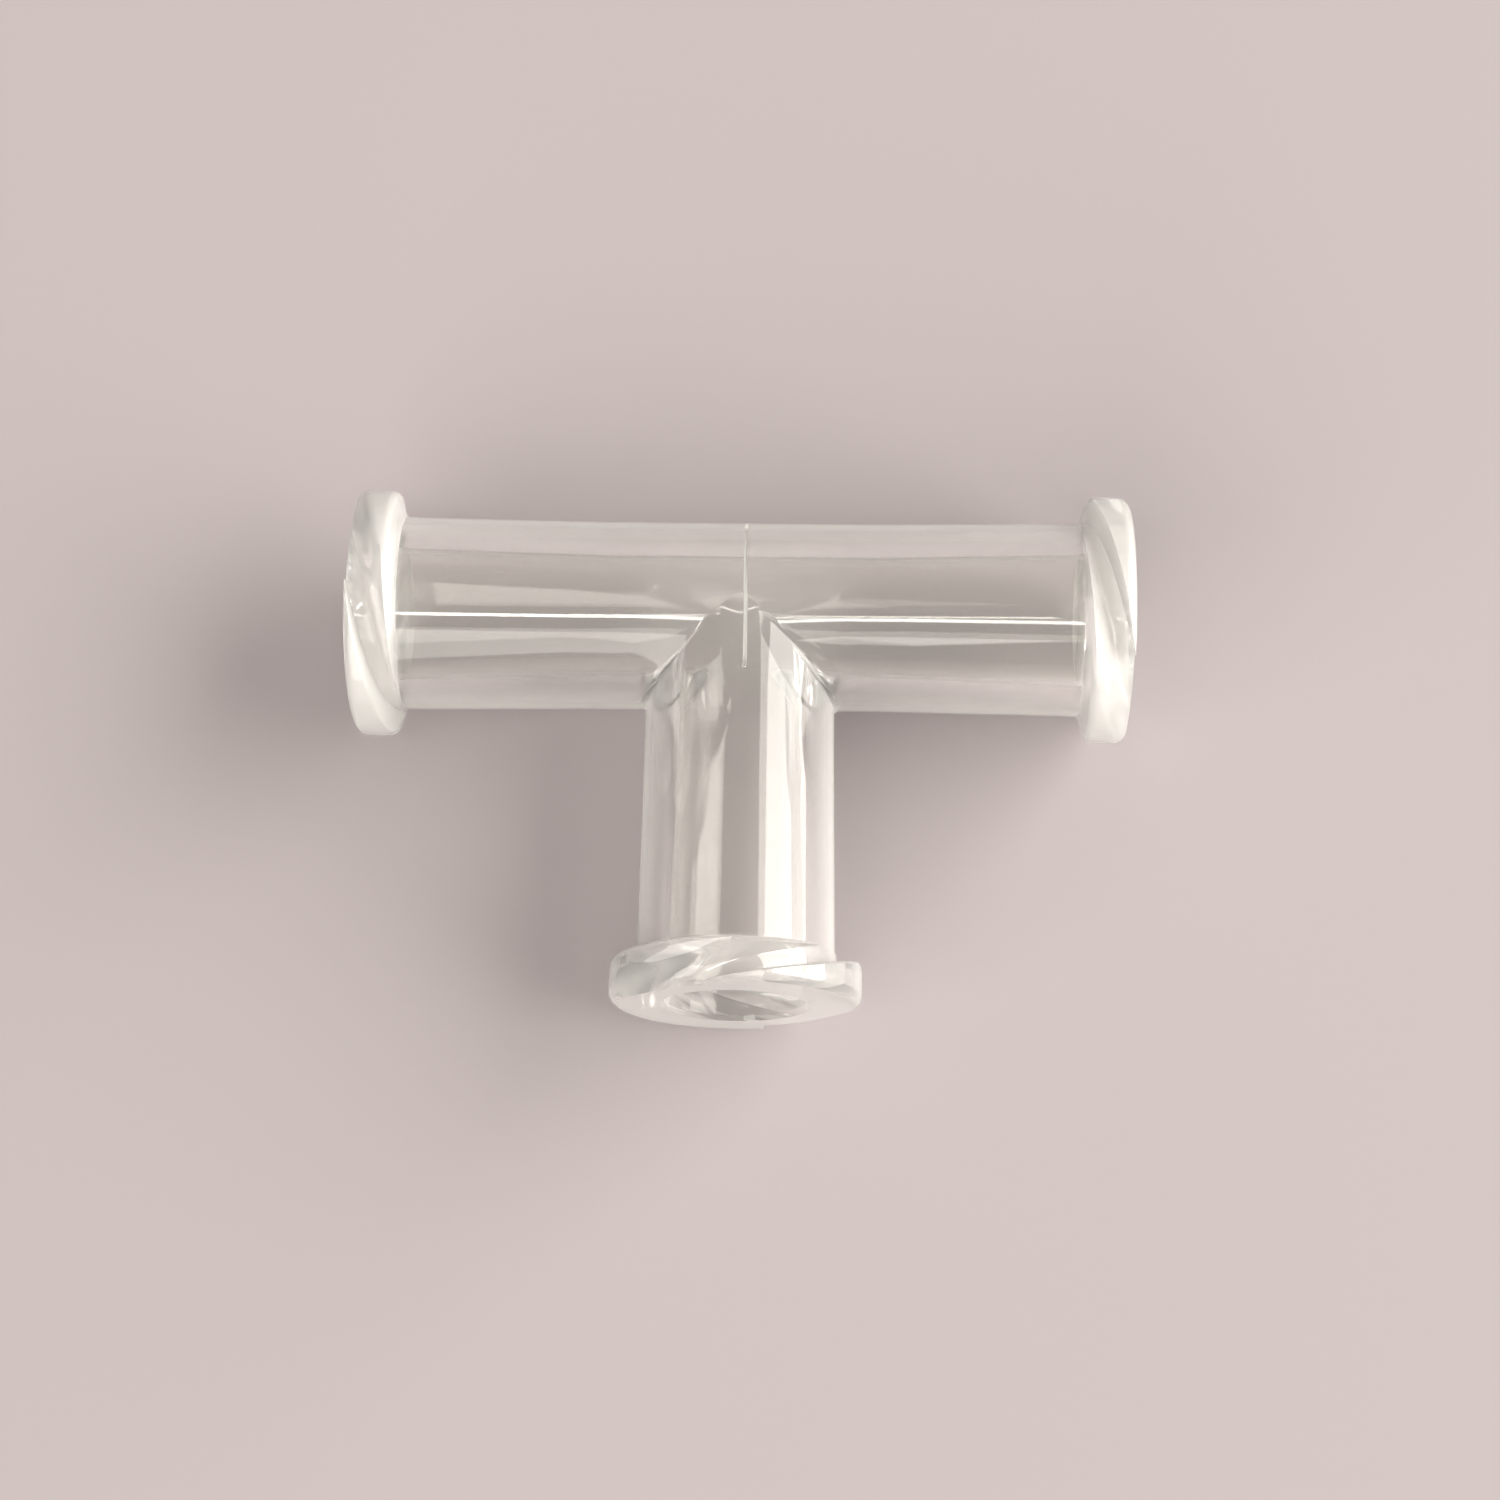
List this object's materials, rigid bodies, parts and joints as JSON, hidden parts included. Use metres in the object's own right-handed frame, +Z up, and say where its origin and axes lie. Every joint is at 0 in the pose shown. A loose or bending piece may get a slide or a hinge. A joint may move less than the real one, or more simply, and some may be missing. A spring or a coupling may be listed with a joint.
{
  "type": "luer tee fitting",
  "caption": "Clear one-piece three-way tee with a female locking luer socket on each end of the run and on the leg.",
  "frame": {"origin": "centre of the bounding box on the surface the fitting lies on", "axes": "+X along the run, -Y along the leg toward its mouth, +Z up, square to both axes"},
  "size_m": [0.0244, 0.0164, 0.0078],
  "materials": {
    "clear_polycarbonate": "polished"
  },
  "bodies": {
    "root": {"tee_body": "clear_polycarbonate"}
  },
  "joints": []
}
